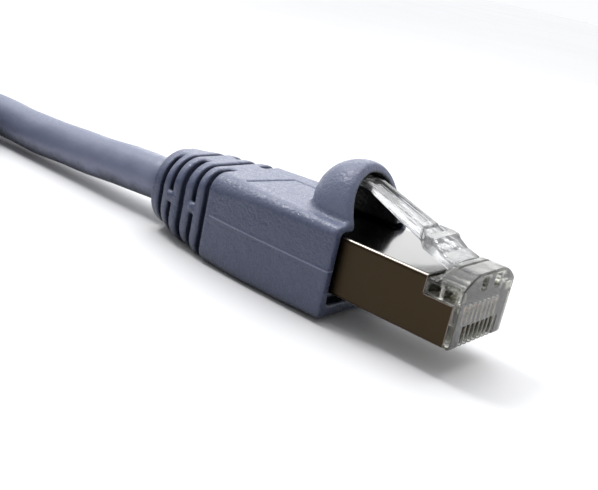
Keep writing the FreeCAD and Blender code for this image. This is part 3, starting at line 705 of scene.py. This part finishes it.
def soft_plastic(name, tones, grain, grain_height, gloss, mottle=0.16):
    """A soft plastic with painted light where it faces up, painted shade where it faces down and
    in its slots, and a spark-eroded grain.
    """
    material, tree, shader = new_material(name)
    under, flank, top = tones
    # Painted light and shade: the colour runs from the dark underside tone to the pale top tone by
    # the way the surface faces, with a random mottle added.
    tone = to_range(tree, facing(tree, "Z"), -1, 1, 0.08 - mottle / 2, 0.92 - mottle / 2)
    tone = math_node(tree, "ADD", tone, math_node(tree, "MULTIPLY", noise(tree, 260, 4), mottle))
    colour = ramp(tree, tone, [(0.12, under), (0.42, flank), (0.56, flank), (0.86, top)])
    # Painted shade in slots and hollows: where the ambient occlusion finds surfaces close by, the
    # colour is blended towards a dark copy of the flank colour.
    shade = tree.nodes.new("ShaderNodeAmbientOcclusion")
    shade.samples = 8
    shade.inputs["Distance"].default_value = SLOT_SHADE_DISTANCE
    open_share = to_range(tree, shade.outputs["AO"], 0.15, 0.75, 0, 1)
    painted_slot_shade = tuple(SLOT_PAINTED_SHADE * part for part in flank)
    link(tree, blend_colours(tree, open_share, painted_slot_shade, colour), shader.inputs["Base Color"])
    fine = noise(tree, grain, 2)
    roughness = to_range(tree, fine, 0.35, 0.65, gloss - 0.1, gloss + 0.14)
    link(tree, roughness, shader.inputs["Roughness"])
    shader.inputs["Specular IOR Level"].default_value = 0.5
    normal = bump(tree, shader, fine, grain_height, 0.8)
    bump(tree, shader, noise(tree, grain / 5, 3), grain_height * 2, 0.5, normal)
    return material


def moulded_boot():
    """The boot's plastic: a pale line where its mould closed, painted light on the hood and
    painted shade in its hollow.
    """
    # The boot's colour carries painted light on top and painted shade underneath.
    material = soft_plastic("boot_plastic", BOOT_LIT_AND_SHADED_TONES, 2600, 0.00013, 0.36)
    tree = material.node_tree
    shader = tree.nodes["Principled BSDF"]
    plain = base_colour(shader)
    x, y, z = object_axes(tree)

    from_seam = math_node(tree, "ABSOLUTE", math_node(tree, "SUBTRACT", z, SEAM_HEIGHT * MM))
    on_seam = to_range(tree, from_seam, SEAM_FADE[0] * MM, SEAM_FADE[1] * MM, 0.6, 0)
    past_ribs = math_node(tree, "GREATER_THAN", x, SEAM_START * MM)
    share = math_node(tree, "MULTIPLY", on_seam, past_ribs)
    colour = blend_colours(tree, share, plain, BOOT_SEAM)
    # Painted light: the hood is blended towards the boot's pale top colour as it rises.
    painted_hood_light = to_range(tree, z, HOOD_FADE[0] * MM, HOOD_FADE[1] * MM, 0, 0.7)
    colour = blend_colours(tree, painted_hood_light, colour, BOOT_LIT_AND_SHADED_TONES[-1])

    # Painted shade: inside the hood's hollow, above the shell, the colour is blended to near
    # black.
    above = math_node(tree, "MAXIMUM", math_node(tree, "SUBTRACT", z, HOOD_SPRING * MM), 0)
    back = math_node(tree, "MINIMUM", math_node(tree, "SUBTRACT", x, HOOD_CENTRE * MM), 0)
    squares = [math_node(tree, "MULTIPLY", part, part) for part in (y, above, back)]
    total = math_node(tree, "ADD", math_node(tree, "ADD", *squares[:2]), squares[2])
    reach = math_node(tree, "SQRT", total)
    near, far = ((HOOD_RADIUS - HOOD_WALL) * MM + fade * MM for fade in HOOD_WALL_FADE)
    inside = to_range(tree, reach, near, far, 1, 0)
    above_shell = math_node(tree, "GREATER_THAN", z, SHELL_TOP * MM)
    inside = math_node(tree, "MULTIPLY", inside, above_shell)
    link(tree, blend_colours(tree, inside, colour, HOOD_HOLLOW_PAINTED_SHADE), shader.inputs["Base Color"])
    return material


def clear_plastic(name, tones, rough, cloud):
    """Clear polycarbonate, a little milky, with faint flow marks from the mould."""
    material, tree, shader = new_material(name)
    dark, light = tones
    flow = noise(tree, 420, 3)
    link(tree, ramp(tree, flow, [(0.3, dark), (0.7, light)]), shader.inputs["Base Color"])
    shader.inputs["Transmission Weight"].default_value = 1.0 - cloud
    shader.inputs["IOR"].default_value = 1.5
    link(tree, to_range(tree, flow, 0.3, 0.7, rough, rough + 0.05), shader.inputs["Roughness"])
    bump(tree, shader, noise(tree, 800, 3), 0.00010, 0.5)
    return material


def clear_nose():
    """The housing's plastic, with painted shade on the walls of the small windows in its flanks.
    """
    material = clear_plastic("clear_housing", CLEAR_HOUSING, 0.10, 0.06)
    tree = material.node_tree
    shader = tree.nodes["Principled BSDF"]
    plain = base_colour(shader)
    x, y, z = object_axes(tree)
    wide = math_node(tree, "ABSOLUTE", y)
    # Painted shade: the window walls are blended to a dark colour.
    inside = to_range(tree, wide, HOUSING_FLANK[0] * MM, HOUSING_FLANK[1] * MM, 0.9, 0)
    for part, limits in ((x, WINDOW_X), (z, WINDOW_Z)):
        after = math_node(tree, "GREATER_THAN", part, limits[0] * MM)
        before = math_node(tree, "LESS_THAN", part, limits[1] * MM)
        inside = math_node(tree, "MULTIPLY", inside, math_node(tree, "MULTIPLY", after, before))
    in_window = math_node(tree, "GREATER_THAN", wide, WINDOW_FLOOR * MM)
    inside = math_node(tree, "MULTIPLY", inside, in_window)
    link(tree, blend_colours(tree, inside, plain, WINDOW_PAINTED_SHADE), shader.inputs["Base Color"])
    return material


def plated_shell():
    """Plated sheet metal, coloured by facing: bright on its top and bottom plates, a painted
    highlight on its bends and a painted dark bronze reflection on its flanks.
    """
    material, tree, shader = new_material("plated_shell")
    shader.inputs["Metallic"].default_value = 1.0
    # Painted reflection: the colour follows how far the surface faces sideways, with some random
    # wear added.
    flank = math_node(tree, "ABSOLUTE", facing(tree, "Y"))
    wear = math_node(tree, "MULTIPLY", noise(tree, 900, 2), 0.12)
    tone = math_node(tree, "ADD", flank, wear)
    link(tree, ramp(tree, tone, SHELL_PAINTED_REFLECTION_TONES), shader.inputs["Base Color"])
    link(tree, to_range(tree, tone, 0.1, 0.95, 0.14, 0.38), shader.inputs["Roughness"])
    bump(tree, shader, noise(tree, 160, 2), 0.00004, 0.3)
    return material


def metal(name, tones, rough, scale=900):
    material, tree, shader = new_material(name)
    dark, light = tones
    shader.inputs["Metallic"].default_value = 1.0
    grain = noise(tree, scale, 3)
    link(tree, ramp(tree, grain, [(0.35, dark), (0.65, light)]), shader.inputs["Base Color"])
    link(tree, to_range(tree, grain, 0.3, 0.7, rough, rough + 0.12), shader.inputs["Roughness"])
    bump(tree, shader, grain, 0.00002, 0.4)
    return material


def braid():
    """Fine crossing strands, from two sets of waves that run both ways round the sleeve."""
    material, tree, shader = new_material("braid")
    shader.inputs["Metallic"].default_value = 1.0
    waves = []
    for lean in (1, -1):
        mapping = tree.nodes.new("ShaderNodeMapping")
        mapping.inputs["Rotation"].default_value = (0, 0, lean * math.radians(35))
        link(tree, object_place(tree), mapping.inputs["Vector"])
        wave = tree.nodes.new("ShaderNodeTexWave")
        wave.inputs["Scale"].default_value = 900
        link(tree, mapping.outputs["Vector"], wave.inputs["Vector"])
        waves.append(wave.outputs["Fac"])
    weave = math_node(tree, "MAXIMUM", *waves)
    colour = ramp(tree, weave, [(0.3, BRAID[0]), (0.8, BRAID[1])])
    link(tree, colour, shader.inputs["Base Color"])
    link(tree, to_range(tree, weave, 0, 1, 0.5, 0.25), shader.inputs["Roughness"])
    bump(tree, shader, weave, 0.00006)
    return material


def hook_and_loop():
    """Black strap fabric with a short fuzzy pile."""
    material, tree, shader = new_material("strap_pile")
    pile = noise(tree, 2600, 5, 0.7)
    colour = ramp(tree, pile, [(0.35, STRAP_PILE[0]), (0.7, STRAP_PILE[1])])
    link(tree, colour, shader.inputs["Base Color"])
    link(tree, to_range(tree, pile, 0.3, 0.7, 0.75, 0.98), shader.inputs["Roughness"])
    shader.inputs["Sheen Weight"].default_value = 0.4
    bump(tree, shader, pile, 0.00025)
    return material


def make_materials():
    made = {
        "moulded_boot": moulded_boot(),
        # The jacket's strong mottle is partly painted light and shade, in blotches along the cord.
        "cable_jacket": soft_plastic("jacket_plastic", JACKET_LIT_AND_SHADED_TONES, 1500, 0.00004, 0.42, 0.5),
        "clear_housing": clear_nose(),
        "clear_latch": clear_plastic("clear_latch", CLEAR_LATCH, 0.10, 0.14),
        "plated_shell": plated_shell(),
        "gold_contacts": metal("gold_plate", GOLD, 0.16),
        "copper": metal("copper", COPPER, 0.22),
        "foil": metal("foil", FOIL, 0.18, 500),
        "braid": braid(),
        "strap": hook_and_loop(),
    }
    for colour, tone in WIRES.items():
        # Painted shade: each wire's insulation is darker where it faces down.
        shade = tuple(UNDERSIDE_PAINTED_SHADE * part for part in tone)
        name = f"insulation_{colour}"
        made[name] = soft_plastic(name, (shade, tone, tone), 2400, 0.00001, 0.38)
    return made


# ---------------------------------------------------------------- the cord

# Lengths are in millimetres and angles in degrees round the coil. Each turn moves to its next
# place in the bundle over TWIST, and the last one comes down to the floor over DESCENT.
COIL_RADIUS = 32.0
COIL_STEP = 6.4
COIL_CENTRE = (-87.4, -35.2)
FLOOR_LEVEL = 3.6
COIL_POINTS = 24
TURNS = 3
COIL_START = 90
TWIST = (240, 360)
TWIST_LIFT = 1.3
DESCENT = (110, 240)
BOOT_EXIT_LEVEL = 5.45

# Four twisted pairs show faintly through the jacket: lobes, the length of one twist, the swelling.
PAIR_LOBES = 4
LOBE_TWIST = 11
LOBE_SWELL = 0.015
WAVE_LENGTH = 17
WAVE_SWELL = 0.017


def ease(value, start, stop):
    t = min(max((value - start) / (stop - start), 0), 1)
    return t * t * (3 - 2 * t)


def coil_point(radius, height, angle):
    """A point of the route, set out a little because the smooth line runs inside its points."""
    pull = (1 + math.cos(math.pi / COIL_POINTS)) / 2
    turn = math.radians(angle)
    return (
        COIL_CENTRE[0] + radius / pull * math.cos(turn),
        COIL_CENTRE[1] + radius / pull * math.sin(turn),
        height,
    )


def stacked_turns():
    """Turns that lie in the four corners of a square bundle, each reached by a slow twist."""
    arm = COIL_STEP / math.sqrt(2)
    step = 360 / COIL_POINTS
    points = []
    for number in range(TURNS * COIL_POINTS):
        angle = COIL_START + number * step
        done, part = divmod(number * step, 360)
        share = ease(part, *TWIST)
        place = math.radians(-45 - 90 * (done + share))
        lift = TWIST_LIFT * math.sin(math.pi * share)
        radius = COIL_RADIUS + arm * math.cos(place)
        height = FLOOR_LEVEL + COIL_STEP / 2 + arm * math.sin(place) + lift
        points.append(coil_point(radius, height, angle))
    return points


def leaving_half_turn():
    """The top turn comes down over the outside of the bundle and runs off to the far plug."""
    points = []
    for number in range(COIL_POINTS // 2):
        angle = COIL_START + number * 360 / COIL_POINTS
        drop = ease(angle, *DESCENT) * math.pi / 2
        radius = COIL_RADIUS + COIL_STEP / 2 + COIL_STEP * math.sin(drop)
        height = FLOOR_LEVEL + COIL_STEP * math.cos(drop)
        points.append(coil_point(radius, height, angle))
    return points


def cord_route():
    far_y = COIL_CENTRE[1] - COIL_RADIUS - 1.5 * COIL_STEP
    return [
        (-23.6, 0, BOOT_EXIT_LEVEL), (-34.4, 0, 4.9), (-50.4, 0, FLOOR_LEVEL),
        (-65.4, 0, FLOOR_LEVEL), (-76.4, 0, FLOOR_LEVEL),
        *stacked_turns(),
        *leaving_half_turn(),
        (COIL_CENTRE[0], far_y, FLOOR_LEVEL), (-80.0, far_y, FLOOR_LEVEL),
        (-70.0, far_y, BOOT_EXIT_LEVEL), (-62.4, far_y, BOOT_EXIT_LEVEL),
    ]


def route_line(points):
    """The smooth line of the cord, read from a spline held by the route's points."""
    data = bpy.data.curves.new("route", "CURVE")
    data.dimensions = "3D"
    spline = data.splines.new("NURBS")
    spline.points.add(len(points) - 1)
    for point, place in zip(spline.points, points):
        point.co = (*(value * MM for value in place), 1)
    spline.order_u = 3
    spline.use_endpoint_u = True
    spline.resolution_u = 6
    holder = add_object("route", data)
    line = bpy.data.meshes.new_from_object(holder)
    found = np.array([v.co for v in line.vertices]) / MM
    bpy.data.objects.remove(holder)
    bpy.data.meshes.remove(line)
    gaps = np.linalg.norm(np.diff(found, axis=0), axis=1)
    return found[np.concatenate(([True], gaps > 1e-4))]


def tube_mesh(name, line, radius, sides=28):
    """A round tube along a line, swelling slightly where the twisted pairs press outwards."""
    ahead = np.gradient(line, axis=0)
    ahead /= np.linalg.norm(ahead, axis=1)[:, None]
    along = np.concatenate(([0], np.cumsum(np.linalg.norm(np.diff(line, axis=0), axis=1))))
    side = np.array([0.0, 1.0, 0.0])
    points = []
    for place, forward, distance in zip(line, ahead, along):
        side = side - forward * side.dot(forward)
        side /= np.linalg.norm(side)
        up = np.cross(forward, side)
        for k in range(sides):
            turn = 2 * math.pi * k / sides
            lobes = math.cos(PAIR_LOBES * turn + 2 * math.pi * distance / LOBE_TWIST)
            wave = math.sin(2 * math.pi * distance / WAVE_LENGTH + turn)
            swell = radius * (1 + LOBE_SWELL * lobes + WAVE_SWELL * wave)
            points.append(place + swell * (math.cos(turn) * side + math.sin(turn) * up))
    rings = len(line)
    faces = [
        (r * sides + k, r * sides + (k + 1) % sides, (r + 1) * sides + (k + 1) % sides,
         (r + 1) * sides + k)
        for r in range(rings - 1) for k in range(sides)
    ]
    faces.append(tuple(range(sides))[::-1])
    faces.append(tuple((rings - 1) * sides + k for k in range(sides)))
    return mesh_from(name, np.array(points) * MM, faces)


def make_cord(material):
    line = route_line(cord_route())
    cable = add_object("cable", tube_mesh("cable", line, CABLE_RADIUS))
    cable.data.materials.append(material)
    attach(cable, "lead")
    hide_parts("cable_run", "cable_coil", "cable_tail")
    return cable, line


# The strap lies this far inside the CAD strap's box, across and upwards. Its loose end stands off
# by STRAP_LIFT times its thickness where it passes over its own start.
STRAP_INSET = (0.75, 0.55)
STRAP_CORNER = 3.6
STRAP_THICK = 0.35
STRAP_HALF = 5.88
STRAP_COLUMNS = 13
STRAP_OVERLAP = 14
STRAP_LIFT = 1.15
STRAP_SQUEEZE = 0.985
CORNER_STEPS = 8
FRAY = 0.05


def strap_loop(half_x, half_z):
    """The strap's line round the bundle: a rounded box, then on over its own start."""
    outline = []
    for quarter, (sx, sz) in enumerate(((1, 1), (-1, 1), (-1, -1), (1, -1))):
        for k in range(CORNER_STEPS + 1):
            turn = math.radians(90 * quarter + 90 * k / CORNER_STEPS)
            outline.append((
                sx * (half_x - STRAP_CORNER) + STRAP_CORNER * math.cos(turn),
                sz * (half_z - STRAP_CORNER) + STRAP_CORNER * math.sin(turn),
            ))
    return outline + outline[:STRAP_OVERLAP]


def strip_faces(count, width):
    """Faces of a strip's inner and outer layers and its long edges, then of its two ends."""
    start = count * width
    faces = []
    for r in range(count - 1):
        for k in range(width - 1):
            a = r * width + k
            faces.append((a, a + width, a + width + 1, a + 1))
            faces.append((start + a, start + a + 1, start + a + width + 1, start + a + width))
        for k, flip in ((0, False), (width - 1, True)):
            a = r * width + k
            side = (a, start + a, start + a + width, a + width)
            faces.append(side[::-1] if flip else side)
    for r in (0, count - 1):
        for k in range(width - 1):
            a = r * width + k
            end = (a, a + 1, start + a + 1, start + a)
            faces.append(end[::-1] if r else end)
    return faces


def make_strap(material):
    """A strap wound one and a bit times round the stored turns, on the side nearest the plugs."""
    low, high = (Vector(corner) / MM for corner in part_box("coil_tie"))
    middle = (low + high) / 2
    loop = strap_loop((high.x - low.x) / 2 - STRAP_INSET[0], (high.z - low.z) / 2 - STRAP_INSET[1])
    once_round = len(loop) - STRAP_OVERLAP
    points = []
    for layer in (0, 1):
        for number, (px, pz) in enumerate(loop):
            wound = STRAP_THICK * STRAP_LIFT * ease(number, once_round - 6, once_round + 2)
            push = 1 + (layer * STRAP_THICK + wound) / math.hypot(px, pz)
            for share in np.linspace(-1, 1, STRAP_COLUMNS):
                fray = FRAY * math.sin(9 * number + 17 * share)
                points.append((
                    middle.x + px * push, middle.y + share * STRAP_HALF + fray,
                    middle.z + pz * push * STRAP_SQUEEZE,
                ))
    faces = strip_faces(len(loop), STRAP_COLUMNS)
    strap = add_object("coil_strap", mesh_from("coil_strap", np.array(points) * MM, faces))
    strap.data.materials.append(material)
    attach(strap, "lead")
    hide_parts("coil_tie")
    return strap


# ---------------------------------------------------------------- stage


FLOOR_HALF = 3.0
LIGHTS_AIM = (0, 0, 0.005)
SUN_POWER = 1.55
SUN_WIDTH = 50
SUN_TURN = (-14, -8)

# Square lamps: name, place, size, power.
LAMPS = (
    ("from_behind", (-0.20, 0.30, 0.17), 0.30, 0.32),
    ("edge_light", (-0.22, -0.03, 0.33), 0.10, 0.6),
)

# The level direction in which the world is white, and its strength at both ends of its fade.
BEHIND_LEAD = (-0.585, 0.811, 0)
WORLD_FADE = (-0.5, 0.6)
WORLD_STRENGTH = (0.3, 1.0)


def add_lamp(name, place, size, power):
    data = bpy.data.lights.new(name, "AREA")
    data.size = size
    data.energy = power
    lamp = add_object(name, data)
    lamp.location = place
    lamp.rotation_mode = "QUATERNION"
    lamp.rotation_quaternion = (Vector(LIGHTS_AIM) - Vector(place)).to_track_quat("-Z", "Y")


def make_floor():
    low, high = -FLOOR_HALF, FLOOR_HALF
    corners = [(low, low, 0), (high, low, 0), (high, high, 0), (low, high, 0)]
    floor = add_object("floor", mesh_from("floor", corners, [(0, 1, 2, 3)]))
    material, tree, shader = new_material("pale_floor")
    colour = ramp(tree, noise(tree, 6, 2), [(0.3, FLOOR[0]), (0.7, FLOOR[1])])
    link(tree, colour, shader.inputs["Base Color"])
    shader.inputs["Roughness"].default_value = 0.7
    floor.data.materials.append(material)


def make_backdrop():
    """A world that is white behind the lead and dimmer on the viewer's side of the studio."""
    world = bpy.data.worlds.new("studio")
    world.use_nodes = True
    tree = world.node_tree
    direction = tree.nodes.new("ShaderNodeTexCoord")
    behind = tree.nodes.new("ShaderNodeVectorMath")
    behind.operation = "DOT_PRODUCT"
    link(tree, direction.outputs["Generated"], behind.inputs[0])
    behind.inputs[1].default_value = BEHIND_LEAD
    background = tree.nodes["Background"]
    background.inputs["Color"].default_value = (0.97, 0.98, 1.0, 1)
    strength = to_range(tree, behind.outputs["Value"], *WORLD_FADE, *WORLD_STRENGTH)
    link(tree, strength, background.inputs["Strength"])
    bpy.context.scene.world = world
    bpy.context.scene.view_settings.view_transform = "Standard"


def make_stage():
    make_floor()
    make_backdrop()
    sun = bpy.data.lights.new("overhead", "SUN")
    sun.energy = SUN_POWER
    sun.angle = math.radians(SUN_WIDTH)
    lamp = add_object("overhead", sun)
    lamp.rotation_euler = (math.radians(SUN_TURN[0]), math.radians(SUN_TURN[1]), 0)
    for name, place, size, power in LAMPS:
        add_lamp(name, place, size, power)


# ---------------------------------------------------------------- the whole lead


# Name, shape, low and high corners of the space it is in, grid step; then the CAD node it shows,
# its slot and its body.
PLUG_PIECES = (
    ("boot_moulding", boot_field, (-47.2, -7.5, -3.4), (-15.2, 7.5, 14.7), 0.16,
     "boot", "moulded_boot", "lead"),
    ("clear_nose", housing_field, (-21.5, -5.9, 0), (0, 5.9, 8.3), 0.10,
     "plug_housing", "clear_housing", "lead"),
    ("latch_lever", latch_field, (-18.9, -3.1, 7), (-3.3, 3.1, 12.8), 0.09,
     "latch", "clear_housing", "{}_latch"),
    ("metal_shell", shell_field, (-27.4, -5.9, -0.5), (-0.6, 5.9, 7.2), 0.10,
     "shield_shell", "plated_shell", "lead"),
)


def make_plugs(materials):
    made = {}
    for name, field, low, high, step, node, slot, body in PLUG_PIECES:
        mesh = mesh_of_field(name, field, low, high, step)
        look = "clear_latch" if node == "latch" else slot
        made[node] = show_at_both_ends(mesh, node, materials[look], body)
    return made


def dress_cad_nodes(materials):
    """Better materials for the CAD solids that stay as they are."""
    slots = {part["node"]: part["material_slot"] for part in frame["record"]["subparts"]}
    for node, thing in frame["nodes"].items():
        thing.data.materials.clear()
        thing.data.materials.append(materials[slots[node]])


make_camera()
materials = make_materials()
cable, cord_line = make_cord(materials["cable_jacket"])
strap = make_strap(materials["strap"])
dress_cad_nodes(materials)
plugs = make_plugs(materials)
on_the_cord = [strap] + [piece["far"] for piece in plugs.values()]
on_the_cord += [
    name for name in frame["record"]["physics"]["cord_nodes"]
    if name.startswith("far_") and name[4:] not in plugs
]
make_stage()
